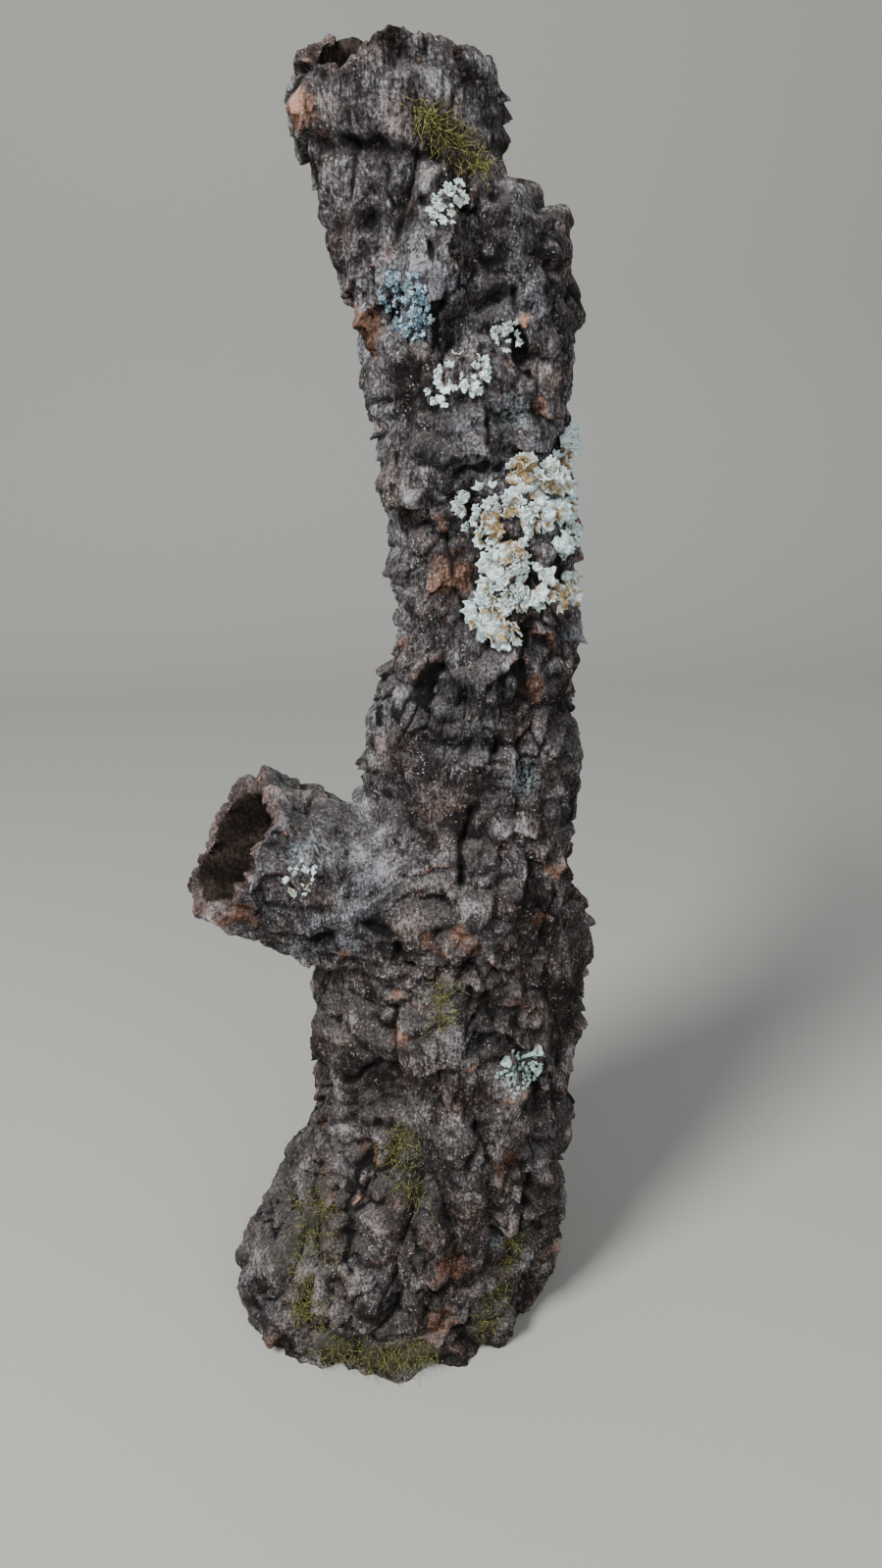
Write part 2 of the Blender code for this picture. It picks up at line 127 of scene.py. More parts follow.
# Single fissures, whose insides get painted shade: width and depth in millimetres, then the points that they
# run through
FISSURES = [
    (2.6, 5.0, [(55, -15, 509), (55, -24, 490), (54, -26, 475), (55, -30, 465), (57, -28, 452)]),
    (1.6, 3.5, [(26, -34, 510), (25, -35, 495), (30, -36, 478), (31, -36, 461)]),
    (2.8, 6.0, [(-10, -22, 519), (2, -27, 519), (11, -29, 519), (22, -31, 517), (32, -30, 515)]),
    (1.8, 3.5, [(13, -28, 517), (13, -31, 500), (7, -30, 488), (9, -30, 478)]),
    (1.8, 3.5, [(28, -37, 414), (38, -38, 418), (50, -36, 416)]),
    (2.0, 4.0, [(16, -32, 326), (20, -34, 342), (34, -37, 358), (32, -34, 374)]),
    (2.0, 4.5, [(38, -40, 288), (31, -44, 268), (31, -47, 252), (28, -52, 236)]),
    (3.0, 5.0, [(-30, -52, 232), (-14, -48, 240), (2, -48, 232), (9, -49, 218), (19, -55, 201)]),
    (2.4, 5.0, [(-24, -36, 150), (-14, -40, 157), (-2, -46, 172), (1, -48, 188), (1, -49, 208)]),
    (2.6, 5.0, [(-8, -47, 136), (-14, -46, 124), (-21, -44, 98), (-27, -43, 86), (-28, -52, 66),
                (-26, -60, 48)]),
    (1.8, 4.0, [(38, -52, 142), (34, -54, 132), (27, -61, 115), (30, -60, 98)]),
    (2.2, 4.0, [(60, -38, 118), (58, -46, 84), (49, -50, 58), (42, -54, 34), (38, -56, 12)]),
    (1.8, 4.0, [(15, -56, 168), (24, -56, 165), (32, -54, 168)]),
    (1.6, 3.0, [(4, -60, 84), (12, -64, 62), (16, -66, 40), (14, -66, 22)]),
]
# Pits: place, radius and depth in millimetres
PITS = [((-25, -29, 177), 3.2, 5), ((-34, -14, 183), 3.0, 5), ((7, -27, 496), 3.0, 4),
        ((-6, -23, 503), 2.6, 4), ((35, -55, 136), 2.6, 4), ((-25, -44, 95), 3.6, 5),
        ((48, -28, 503), 2.4, 3)]
# Small domes: place, radius and height in millimetres
DOMES = [((24, -57, 178), 8, 4.0), ((42, -39, 431), 7, 3.4), ((22, -35, 486), 7, 2.0),
         ((-49, -44, 49), 11, 3.0), ((61, -34, 304), 9, 2.5), ((31, -46, 262), 9, 2.0)]
# Places where a scale has come off and shows reddish-brown cork, and loose pinkish chips, with their radii
FRESH = [((31, -30, 376), 9), ((60, -32, 331), 7), ((2, -49, 184), 6), ((70, -34, 254), 5),
         ((3, -17, 462), 10), ((-16, -18, 532), 7), ((-61, -61, 250), 10), ((-16, -46, 116), 7),
         ((49, -52, 112), 7), ((21, -60, 62), 9), ((52, -48, 152), 7), ((31, -46, 234), 5),
         ((62, -34, 230), 5), ((16, -66, 30), 9), ((-18, -46, 222), 4)]
CHIPS = [((2, -49, 183), 3.0), ((11, -50, 235), 2.2), ((70, -34, 254), 3.0), ((60, -32, 330), 2.6),
         ((-20, -46, 91), 2.4), ((-11, -61, 74), 3.0), ((-14, -63, 66), 2.2), ((26, -56, 187), 2.6),
         ((33, -52, 167), 2.2), ((3, -48, 204), 2.4), ((42, -50, 221), 2.2), ((3, -18, 464), 2.6),
         ((-16, -18, 535), 3.4), ((58, -28, 464), 2.0), ((32, -36, 478), 2.0), ((62, -42, 168), 2.4)]
# Thin films of blue-white lichen on the bark, with their radii
FILMS = [((55, -35, 294), 8), ((77, -16, 348), 4), ((56, -35, 435), 7), ((22, -33, 463), 6),
         ((14, -31, 478), 8), ((-30, -53, 273), 6), ((-16, -48, 227), 4), ((38, -34, 504), 6),
         ((44, -50, 62), 4), ((50, -46, 157), 8)]
# What is painted on the bark for its colour, with its painted shade and the painted highlight on what faces
# up
PAINTED = ("crest", "painted_shade", "fresh", "chip", "dust_and_top_light", "moss", "film", "pale", "inside")
# A plate near the top that has stayed smooth: place and reach in millimetres
SMOOTH_PLATE = ((12, -30, 531), (25, 18, 10))
# The bark in front of the fork is granular and has few ledges: place and reach in millimetres
GRANULAR = ((24, -44, 258), (32, 26, 40))


def smooth_step(low, high, value):
    share = min(1.0, max(0.0, (value - low) / (high - low)))
    return share * share * (3 - 2 * share)


def lumps(point, size, seed=(0, 0, 0)):
    """Smooth random lumps of a size, above and below nought. Another seed gives other lumps."""
    return noise.noise(point / size + Vector(seed))


def between(rows, at):
    """The values of rows at a place between their first columns, on one smooth curve through them all."""
    places = [row[0] for row in rows]
    last = len(rows) - 1
    i = min(last - 1, max(0, bisect_right(places, at) - 1))
    before, start, end, after = rows[max(0, i - 1)], rows[i], rows[i + 1], rows[min(last, i + 2)]
    span = end[0] - start[0]
    t = min(1.0, max(0.0, (at - start[0]) / span))
    found = []
    for column in range(1, len(start)):
        slope_in = (end[column] - before[column]) / (end[0] - before[0]) * span
        slope_out = (after[column] - start[column]) / (after[0] - start[0]) * span
        found.append((2 * t**3 - 3 * t**2 + 1) * start[column] + (t**3 - 2 * t**2 + t) * slope_in
                     + (3 * t**2 - 2 * t**3) * end[column] + (t**3 - t**2) * slope_out)
    return found


def shoulder(turn, height):
    """How far the broken shoulder pushes the trunk's side out, and the crease before it pulls it in."""
    rise = smooth_step(*SHOULDER_FOOT, height) * (1 - smooth_step(*SHOULDER_TOP, height))
    off = (math.degrees(turn) - SHOULDER_TURN + 180) % 360 - 180
    bulge = math.exp(-((off / SHOULDER_SPREAD) ** 4)) * SHOULDER_REACH
    crease = math.exp(-(((off + SHOULDER_SPREAD + 6) / 12) ** 2)) * SHOULDER_CREASE
    return rise * (bulge - crease)


def trunk_point(turn, share):
    """A point on the smooth trunk: turn runs from +X through the back, share from the foot to the top."""
    rim = between(RIM, math.degrees(turn) % 360)[0] * MM
    rim += RIM_CHIP * noise.noise(Vector((math.cos(turn), math.sin(turn), 4.2)) * 4.5)
    height = FOOT_BELOW + share * (rim - FOOT_BELOW)
    middle, half_width, half_depth = (value * MM for value in between(STATIONS, height / MM))
    push = shoulder(turn, height)
    across = middle + (half_width + push) * math.cos(turn)
    return Vector((across, (half_depth + push) * math.sin(turn), height))


def limb_point(turn, share):
    """A point on the smooth side limb, from its slanting start to its broken mouth."""
    level = Vector((0, 0, 1)).cross(LIMB_WAY).normalized()
    up = LIMB_WAY.cross(level).normalized()
    start = LIMB_START + LIMB_START_TILT * math.sin(turn)
    mouth = LIMB_MOUTH + 5 * MM * noise.noise(Vector((math.cos(turn), math.sin(turn), 1.7)) * 1.6)
    radius = LIMB_RADIUS * (1.04 - 0.05 * share)
    across = (level * math.cos(turn) + up * math.sin(turn)) * radius
    return LIMB_ROOT + LIMB_WAY * (start + share * (mouth - start)) + across


def add_tube(bm, sides, rings, place):
    """An open tube of sides by rings faces, each corner put where place says."""
    made = bmesh.ops.create_grid(bm, x_segments=sides, y_segments=rings, size=0.5)["verts"]
    for vert in made:
        vert.co = place((vert.co.x + 0.5) * 2 * math.pi, vert.co.y + 0.5)
    bmesh.ops.remove_doubles(bm, verts=made, dist=0.01 * MM)


def from_limb_axis(point):
    """How far along the side limb's axis a point is, and how far from it."""
    run = (point - LIMB_ROOT).dot(LIMB_WAY)
    return run, (point - LIMB_ROOT - LIMB_WAY * run).length


def forms_at(point):
    """The height of the broad forms at a point."""
    total = 0.0
    for place, reach, rise in FORMS:
        far = sum(((p / MM - c) / r) ** 2 for p, c, r in zip(point, place, reach))
        if far < 9:
            total += rise * MM * math.exp(-far)
    return total


def smooth_skin():
    """The smooth open skin of the trunk with its side limb and its broad forms."""
    bm = bmesh.new()
    rings = round(STATIONS[-1][0] * MM / RING_STEP)
    add_tube(bm, RING_SIDES, rings, trunk_point)
    inside = []
    for face in bm.faces:
        run, off = from_limb_axis(face.calc_center_median())
        if run > 0 and off < LIMB_COLLAR:
            inside.append(face)
    bmesh.ops.delete(bm, geom=inside, context="FACES")
    collar = [edge for edge in bm.edges if edge.is_boundary and FOOT_BELOW + RING_STEP < edge.verts[0].co.z
              and edge.verts[0].co.z < TRUNK_CUT]
    trunk = set(bm.verts)
    limb_sides = round(RING_SIDES * 0.75)
    limb_rings = round((LIMB_MOUTH - LIMB_START) / RING_STEP)
    add_tube(bm, limb_sides, limb_rings, limb_point)
    low = LIMB_START + LIMB_START_TILT + 1 * MM
    start = [edge for edge in bm.edges if edge.is_boundary and edge.verts[0] not in trunk
             and from_limb_axis(edge.verts[0].co)[0] < low]
    joined = bmesh.ops.bridge_loops(bm, edges=collar + start)["faces"]
    added = {edge for face in joined for edge in face.edges} - set(collar) - set(start)
    bmesh.ops.subdivide_edges(bm, edges=[edge for edge in bm.edges if edge in added], cuts=2)
    soft = []
    for vert in bm.verts:
        run, off = from_limb_axis(vert.co)
        by_fork = 0 < run < LIMB_CUT + 10 * MM
        if by_fork and LIMB_RADIUS - 2 * MM < off < LIMB_COLLAR + 12 * MM:
            soft.append(vert)
    for _ in range(16):
        bmesh.ops.smooth_vert(bm, verts=soft, factor=0.5, use_axis_x=True, use_axis_y=True, use_axis_z=True)
    bmesh.ops.recalc_face_normals(bm, faces=bm.faces)
    bm.normal_update()
    if max(bm.verts, key=lambda vert: vert.co.x).normal.x < 0:
        bmesh.ops.reverse_faces(bm, faces=bm.faces)
        bm.normal_update()
    for vert, rise in [(vert, forms_at(vert.co)) for vert in bm.verts]:
        vert.co += vert.normal * rise
    bm.normal_update()
    return bm


def limb_share(point):
    """How far a point belongs to the side limb, from 0 on the trunk to 1 on the limb."""
    run, off = from_limb_axis(point)
    return smooth_step(40 * MM, 75 * MM, run) * (1 - smooth_step(42 * MM, 60 * MM, off))


def grain_place(point, stretch=GRAIN_STRETCH):
    """The point in a space shortened along the grain, so that a pattern there comes out long on the bark."""
    way = Vector((0, 0, 1)).lerp(LIMB_WAY, limb_share(point)).normalized()
    return point - way * (point - LIMB_ROOT).dot(way) * (1 - stretch)


def drift(place, size, height, seed=Vector((9.3, 0, 5.1))):
    """A smooth random shift of a place, so that patterns on it lose their straight lines."""
    return Vector([noise.noise(place / size + seed * k) for k in (1, 2, 3)]) * height


def bark_relief(point):
    """How far the solid's bark stands out from its smooth skin: ridges between fissures, lumps and ledges."""
    place = grain_place(point)
    place = place + drift(place, WARP_SIZE, WARP)
    fold = math.hypot(lumps(place, RIDGE_SIZE), 0.02) - 0.01
    ridge = min(1.0, fold * 2.4) ** 0.7
    lump = lumps(point, LUMP_SIZE, (3, 8, 1))
    flat = Vector((place.x, place.y, point.z * 2.1)) / LEDGE_SIZE
    ledge = min(1.0, abs(noise.noise(flat + Vector((9, 2, 5)))) * 2.6)
    where = smooth_step(-0.15, 0.25, lumps(point, LUMP_SIZE * 1.3, (7, 1, 4)))
    craggy = 0.4 + 0.7 * smooth_step(-0.2, 0.25, lumps(point, 38 * MM, (4, 7, 3)))
    rise = RIDGE_HEIGHT * craggy * (ridge - 0.55) + LUMP_HEIGHT * lump + LEDGE_HEIGHT * where * (ledge - 0.6)
    hole, radius, depth = PIT
    pit = depth * math.exp(-(((point - hole).length / radius) ** 2))
    return rise - pit, 1 - (1 - ridge) * min(1.0, craggy)


def near(point, place, reach):
    """1 at a place in millimetres, falling to 0 away from it over its reach."""
    far = (point / MM - Vector(place)).length / reach
    return math.exp(-(far * far)) if far < 2.6 else 0.0


def near_any(point, spots):
    """1 at the middle of any of the spots, falling to 0 away from them all."""
    return max(near(point, spot, reach) for spot, reach in spots)


def in_zone(point, place, reach):
    """1 in a zone round a place in millimetres, falling steeply to 0 past its reach along X, Y and Z."""
    return math.exp(-sum(((p / MM - c) / r) ** 4 for p, c, r in zip(point, place, reach)))


def fissure_at(point):
    """How far a point lies in one of the single fissures: the depth there, in metres."""
    deepest = 0.0
    at = point / MM
    at = at + drift(at, 6.0, 2.8)
    for width, depth, line in FISSURES:
        if not min(p[2] for p in line) - 6 < at.z < max(p[2] for p in line) + 6:
            continue
        for a, b in zip(line, line[1:]):
            a, b = Vector(a), Vector(b)
            share = min(1.0, max(0.0, (at - a).dot(b - a) / (b - a).length_squared))
            far = (at - a.lerp(b, share)).length
            if far < width * 5:
                inside = 0.45 * math.exp(-((far / (width * 1.6)) ** 2))
                inside += 0.55 * math.exp(-((far / (width * 0.7)) ** 4))
                broken = min(1.0, max(0.25, 0.75 + 1.3 * noise.noise(at / 7)))
                deepest = max(deepest, inside * depth * broken * MM)
    return deepest


def plates_at(point):
    """The small plates of cork at a point: their height, and how far it lies in a crack between them."""
    place = grain_place(point, 0.5)
    place = place + drift(place, 15 * MM, 7 * MM, Vector((3.1, 7.7, 1.9))) + drift(place, 4.5 * MM, 2.0 * MM)
    far, cells = noise.voronoi(place / PLATE_SIZE)
    inside = smooth_step(0.0, 0.4, far[1] - far[0])
    cracked = smooth_step(0.02, 0.3, lumps(point, 24 * MM, (6, 1, 8)))
    crack = (1 - smooth_step(0.0, 0.13, far[1] - far[0])) * cracked
    own = noise.cell(cells[0] * 7.3 + Vector((0.5, 0.5, 0.5)))
    tilt = max(-1.0, min(1.0, (cells[0].z - place.z / PLATE_SIZE) * 1.7))
    return PLATE_HEIGHT * (0.8 * (own - 0.5) + 0.5 * tilt) * inside - PLATE_CRACK * crack, crack


def shingles_at(point):
    """Ledges that swell downwards and then break back sharply: their height, their lip, and the painted shade
    under the lip above, at a point.
    """
    steps = point.z / SHINGLE_STEP + 1.7 * lumps(point, 30 * MM, (5, 5, 2))
    fine = 0.55 * lumps(point, 11 * MM, (1, 6, 2))
    steps += fine + 0.12 * lumps(point, 3.5 * MM)
    saw = steps - math.floor(steps)
    here = smooth_step(-0.12, 0.2, lumps(point, 34 * MM, (2, 9, 4)))
    height = SHINGLE_LIP * here * ((1 - saw) ** 1.6 * smooth_step(0.0, 0.09, saw) - 0.3)
    broken = smooth_step(0.0, 0.2, lumps(point, 9 * MM))
    # The third value is painted shade, just below the lip of the ledge above
    return height, here * (1 - smooth_step(0.05, 0.16, saw)) * broken, smooth_step(0.84, 1.0, saw) * here


def bark_detail(point):
    """All the relief at a point of the skin: its height, then how far it is crest, how much painted shade it
    gets, and how far it is lip and smooth.
    """
    broad, ridge = bark_relief(point)
    calm, granular = in_zone(point, *SMOOTH_PLATE), in_zone(point, *GRANULAR)
    broad, ridge = broad * (1 - 0.75 * calm), ridge + (1 - ridge) * calm
    rough = (1 - 0.85 * calm) * (1 - 0.35 * limb_share(point)) * (1 - 0.5 * granular)
    plate, crack = plates_at(point)
    shelf, lip, shade_below_lip = shingles_at(point)
    crust = abs(lumps(grain_place(point, 0.6), CRUST_SIZE, (2, 3, 9)))
    crumb = CRUST_HEIGHT * (crust - 0.2) + GRIT_HEIGHT * lumps(point, GRIT_SIZE)
    crumb += FINE_GRIT_HEIGHT * lumps(point, FINE_GRIT_SIZE, (4, 4, 4))
    thread = lumps(grain_place(point, 0.13), THREAD_SIZE)
    rise = (plate + shelf + crumb) * rough + THREAD_HEIGHT * thread
    for spot, radius, height in DOMES:
        rise += near(point, spot, radius) * height * MM
    pit = max(near(point, spot, radius) * depth * MM for spot, radius, depth in PITS)
    cut = max(fissure_at(point), pit)
    crest = 0.5 + (rise / MM) * 0.10 + 0.22 * (ridge - 0.6)
    # Painted shade: darker in the plates' cracks, in the troughs between ridges and under the ledges' lips,
    # and black in fissures and pits as they deepen
    painted_shade = max(0.9 * crack, 1 - min(1.0, ridge * 3.0), 0.75 * shade_below_lip) * rough
    painted_shade = max(painted_shade, min(1.0, cut / FULL_SHADE_DEPTH))
    return broad + rise - cut, min(1.0, max(0.0, crest)), min(1.0, painted_shade), lip * (1 - calm), calm


def wall_at(point):
    """How thick the bark is at a point, thinner on the limb and towards the broken top."""
    wall = WALL + (LIMB_WALL - WALL) * limb_share(point)
    return wall + (TOP_WALL - wall) * smooth_step(470 * MM, 540 * MM, point.z)


def put_in(made):
    """Puts a new object in the scene."""
    bpy.context.scene.collection.objects.link(made)
    return made


def shaped(source):
    """A bmesh of a new object with its modifiers or its bevel applied. The object itself is removed."""
    put_in(source)
    bm = bmesh.new()
    bm.from_mesh(source.evaluated_get(bpy.context.evaluated_depsgraph_get()).to_mesh())
    bpy.data.objects.remove(source)
    return bm


def raise_relief(bm, layers):
    """Moves the skin out to its relief and paints it. Says each corner's way out and its old place."""
    moves = []
    for vert in bm.verts:
        point = vert.co.copy()
        rise, crest, painted_shade, lip, calm = bark_detail(point)
        fresh = smooth_step(0.25, 0.6, near_any(point, FRESH) + 0.35 * lumps(point, 4 * MM))
        chip = smooth_step(0.25, 0.45, near_any(point + drift(point, 3 * MM, 1.5 * MM), CHIPS))
        film = smooth_step(0.2, 0.7, near_any(point, FILMS) + 0.4 * lumps(point, 3 * MM))
        greyer = 0.72 * smooth_step(200 * MM, 400 * MM, point.z)
        greyer -= 0.25 * smooth_step(480 * MM, 520 * MM, point.z)
        vert[layers["crest"]] = crest
        # The painted shade of the cracks, troughs, ledges, fissures and pits
        vert[layers["painted_shade"]] = painted_shade
        vert[layers["fresh"]] = min(1.0, max(fresh, 0.9 * lip))
        vert[layers["chip"]] = chip
        vert[layers["film"]] = film
        vert[layers["pale"]] = min(1.0, max(greyer, limb_share(point), calm))
        moves.append((vert.normal.copy(), rise + CHIP_HEIGHT * chip, point))
    skin = {}
    for vert, (out, rise, point) in zip(bm.verts, moves):
        vert.co = point + out * rise
        vert.co.z -= SAG * max(0.0, rise) * (1 - abs(out.z))
        skin[vert] = (out, point)
    for vert in [vert for vert in bm.verts if vert.is_boundary and vert.co.z > 0]:
        out, point = skin[vert]
        way = LIMB_WAY if limb_share(point) > 0.5 else Vector((0, 0, 1))
        ragged = 1.8 * MM * lumps(point, 4 * MM) + 0.9 * MM * lumps(point, 1.6 * MM)
        vert.co += way * ragged
    return skin


def open_rims(edges):
    """Open edges sorted into those at the foot, at the broken top and at the limb's mouth."""
    rims = ([], [], [])
    for edge in edges:
        height = edge.verts[0].co.z
        if height < 5 * MM:
            rims[0].append(edge)
        else:
            rims[1 if height > TRUNK_CUT else 2].append(edge)
    return rims


def grow(bm, loop):
    """Extrudes a loop of edges on the spot, and says which corners and edges are the new loop's."""
    grown = bmesh.ops.extrude_edge_only(bm, edges=loop)["geom"]
    ring = [part for part in grown if isinstance(part, bmesh.types.BMVert)]
    new = set(ring)
    edges = [part for part in grown if isinstance(part, bmesh.types.BMEdge)]
    return ring, [edge for edge in edges if new.issuperset(edge.verts)]


def turn_in(bm, layers, skin, loop, way=None):
    """Turns an open edge of the skin in over the wall: flat at the foot, else in crumbly steps along way."""
    steps = EDGE_STEPS if way is not None else 1
    for step in range(1, steps + 1):
        before = {tuple(vert.co): skin[vert] for edge in loop for vert in edge.verts}
        ring, loop = grow(bm, loop)
        for vert in ring:
            skin[vert] = before[tuple(vert.co)]
            out, point = skin[vert]
            vert.co -= out * wall_at(point) / (steps + 1)
            if way is not None:
                crumb = lumps(vert.co, 3.2 * MM) + 0.6 * lumps(vert.co, 1.5 * MM)
                sunk = 0.5 * MM if step / (steps + 1) > 0.6 else 0.0
                vert.co += way * (EDGE_CRUMB * crumb - sunk)
                vert[layers["crest"]] = 0.5 + 0.4 * crumb
                vert[layers["fresh"]] = 0.55 + 0.4 * lumps(vert.co, 5 * MM)
                # No painted shade on the crumbly broken edges
                vert[layers["painted_shade"]] = 0.0
                vert[layers["inside"]] = 0.25
    return loop


def add_inside(bm, layers, mesh, places):
    """Adds the smooth inside of the tube, which faces inwards, and says which of its edges are open."""
    corners, sheets = len(bm.verts), len(bm.faces)
    bm.from_mesh(mesh)
    for vert, place in zip(list(bm.verts)[corners:], places):
        vert.co = place
        vert[layers["inside"]] = 1.0
        vert[layers["crest"]] = 0.5
    bmesh.ops.reverse_faces(bm, faces=list(bm.faces)[sheets:])
    return [edge for edge in bm.edges if edge.is_boundary
            and all(vert[layers["inside"]] == 1.0 for vert in edge.verts)]


def whole_bark():
    """The closed bark tube with its colour attributes, before it is cut into its pieces."""
    coarse = smooth_skin()
    smooth = bpy.data.meshes.new("skin")
    coarse.to_mesh(smooth)
    inner_places = [vert.co - vert.normal * wall_at(vert.co) for vert in coarse.verts]
    inner_places = [place + drift(place, 9 * MM, 0.8 * MM) for place in inner_places]
    coarse.free()
    source = bpy.data.objects.new("skin", smooth)
    finer = source.modifiers.new("finer", "SUBSURF")
    finer.levels = finer.render_levels = FINER
    bm = shaped(source)
    bm.normal_update()
    layers = {name: bm.verts.layers.float.new(name) for name in PAINTED}
    rims = open_rims([edge for edge in bm.edges if edge.is_boundary])
    skin = raise_relief(bm, layers)
    ways = (None, Vector((0, 0, 1)), LIMB_WAY)
    ends = [turn_in(bm, layers, skin, rim, way) for rim, way in zip(rims, ways)]
    inner_rims = open_rims(add_inside(bm, layers, smooth, inner_places))
    for loop, partner in zip(ends, inner_rims):
        bmesh.ops.bridge_loops(bm, edges=loop + partner)
    bmesh.ops.recalc_face_normals(bm, faces=bm.faces)
    bm.normal_update()
    for vert in bm.verts:
        # Pale dust and a painted highlight on what faces up: lighter the more a face turns upwards
        vert[layers["dust_and_top_light"]] = smooth_step(0.0, 0.75, vert.normal.z) * (1 - vert[layers["inside"]])
    return bm


def cut_piece(bm, name):
    """One piece of the bark, cut out of a copy of the whole and closed again."""
    def slice_at(place, way, clear_out=False, clear_in=False, geom=None):
        geom = geom or list(bm.verts) + list(bm.edges) + list(bm.faces)
        bmesh.ops.bisect_plane(bm, geom=geom, plane_co=place, plane_no=way, dist=0.001 * MM,
                               clear_outer=clear_out, clear_inner=clear_in)

    def by_limb(vert, start):
        run, off = from_limb_axis(vert.co)
        return run > start and off < LIMB_ROOM + 2 * MM and vert.co.z < TRUNK_CUT + 20 * MM

    limb_at = LIMB_CUT + (GAP / 2 if name == "side_limb" else -GAP / 2)
    if name != "upper_trunk":
        around = set(vert for vert in bm.verts if by_limb(vert, LIMB_CUT - 12 * MM))
        faces = [face for face in bm.faces if all(vert in around for vert in face.verts)
                 and any(from_limb_axis(vert.co)[0] < LIMB_CUT + 12 * MM for vert in face.verts)]
        edges = list(dict.fromkeys(edge for face in faces for edge in face.edges))
        verts = list(dict.fromkeys(vert for face in faces for vert in face.verts))
        slice_at(LIMB_ROOT + LIMB_WAY * limb_at, LIMB_WAY, geom=verts + edges + faces)
    limb = [vert for vert in bm.verts if by_limb(vert, limb_at + 0.002 * MM)]
    kept = set(vert for vert in bm.verts if by_limb(vert, limb_at - 0.002 * MM))
    if name == "side_limb":
        bmesh.ops.delete(bm, geom=[vert for vert in bm.verts if vert not in kept], context="VERTS")
    elif name == "upper_trunk":
        bmesh.ops.delete(bm, geom=[vert for vert in limb if vert.co.z < TRUNK_CUT + 12 * MM], context="VERTS")
        slice_at((0, 0, TRUNK_CUT + GAP / 2), (0, 0, 1), clear_in=True)
    else:
        bmesh.ops.delete(bm, geom=limb, context="VERTS")
        slice_at((0, 0, TRUNK_CUT - GAP / 2), (0, 0, 1), clear_out=True)
        slice_at((0, 0, 0), (0, 0, 1), clear_in=True)
    # Each cut has left an inner and an outer loop, which are bridged
    at_limb, low, high = [], [], []
    for edge in [edge for edge in bm.edges if edge.is_boundary]:
        middle = (edge.verts[0].co + edge.verts[1].co) / 2
        run, off = from_limb_axis(middle)
        if abs(run - limb_at) < 0.05 * MM and off < LIMB_ROOM + 2 * MM and middle.z < TRUNK_CUT - 0.5 * MM:
            at_limb.append(edge)
        elif middle.z < 1 * MM:
            low.append(edge)
        else:
            high.append(edge)
    for loops in (at_limb, low, high):
        if loops:
            bmesh.ops.bridge_loops(bm, edges=loops)
        for edge in loops:
            edge.smooth = False
    return bm


def linear(shade):
    """A colour written as on a screen, turned into the linear values that shaders take."""
    parts = [int(shade[i:i + 2], 16) / 255 for i in (1, 3, 5)]
    return [part / 12.92 if part <= 0.04045 else ((part + 0.055) / 1.055) ** 2.4 for part in parts] + [1.0]


def feed(tree, socket, value):
    """Links a socket to another node's output, or sets it to a value or a written shade."""
    if isinstance(value, bpy.types.NodeSocket):
        tree.links.new(value, socket)
    else:
        socket.default_value = linear(value) if isinstance(value, str) else value


def add_node(tree, kind, settings=None, **inputs):
    """A shader node with its settings, and its inputs fed by name."""
    made = tree.nodes.new(kind)
    for name, value in (settings or {}).items():
        setattr(made, name, value)
    for name, value in inputs.items():
        feed(tree, made.inputs[name.replace("_", " ")], value)
    return made


def new_material(name):
    """An empty material, its node tree with only the output left, and the place that a pattern reads."""
    made = bpy.data.materials.new(name)
    made.use_nodes = True
    tree = made.node_tree
    tree.nodes.remove(tree.nodes["Principled BSDF"])
    return made, tree, add_node(tree, "ShaderNodeTexCoord").outputs["Object"]


def ramp(tree, factor, stops):
    """A colour ramp through the stops, each a place and a colour."""
    made = add_node(tree, "ShaderNodeValToRGB", Fac=factor)
    points = made.color_ramp.elements
    while len(points) < len(stops):
        points.new(0.5)
    for point, (place, shade) in zip(points, stops):
        point.position = place
        point.color = linear(shade) if isinstance(shade, str) else (shade, shade, shade, 1)
    return made.outputs["Color"]


def mix(tree, share, first, second, blend="MIX"):
    """Two colours mixed by a share. A colour may be a written shade or another node's output."""
    made = add_node(tree, "ShaderNodeMix", {"data_type": "RGBA", "blend_type": blend})
    for index, value in ((0, share), (6, first), (7, second)):
        feed(tree, made.inputs[index], value)
    return made.outputs[2]


def math_node(tree, operation, first, second):
    """Arithmetic on two values, each a number or another node's output."""
    made = add_node(tree, "ShaderNodeMath", {"operation": operation})
    for socket, value in zip(made.inputs, (first, second)):
        feed(tree, socket, value)
    return made.outputs[0]


def times(tree, first, second):
    return math_node(tree, "MULTIPLY", first, second)


def attribute(tree, name):
    return add_node(tree, "ShaderNodeAttribute", {"attribute_name": name}).outputs["Fac"]


def noise_at(tree, place, size, detail=3.0, rough=0.55, bent=0.0):
    """Noise whose lumps are about this size in metres."""
    return add_node(tree, "ShaderNodeTexNoise", Vector=place, Scale=1 / size, Detail=detail, Roughness=rough,
                    Distortion=bent).outputs[0]


def swing(tree, pattern, weight):
    """A pattern turned into a value that swings evenly round nought."""
    return times(tree, math_node(tree, "SUBTRACT", pattern, 0.5), weight)


def worn(tree, name, pattern, *stops):
    """A painted attribute, worn away by a pattern."""
    return times(tree, attribute(tree, name), ramp(tree, pattern, stops))


def dots(tree, place, size, middle, edge, *where):
    """Random dots this far apart, full inside middle and gone past edge, only where a pattern lets them."""
    far = add_node(tree, "ShaderNodeTexVoronoi", Vector=place, Scale=1 / size).outputs["Distance"]
    return times(tree, ramp(tree, far, [(middle, 1.0), (edge, 0.0)]), ramp(tree, *where))


def bump(tree, height, strength, distance, **over):
    """A bump from a pattern, laid over another one when its Normal is given."""
    made = add_node(tree, "ShaderNodeBump", Height=height, Strength=strength, Distance=distance, **over)
    return made.outputs[0]


def end_material(tree, colour, roughness, **more):
    """Ends a material in its matt surface."""
    shader = add_node(tree, "ShaderNodeBsdfPrincipled", Base_Color=colour, Roughness=roughness, **more)
    tree.links.new(shader.outputs[0], tree.nodes["Material Output"].inputs["Surface"])


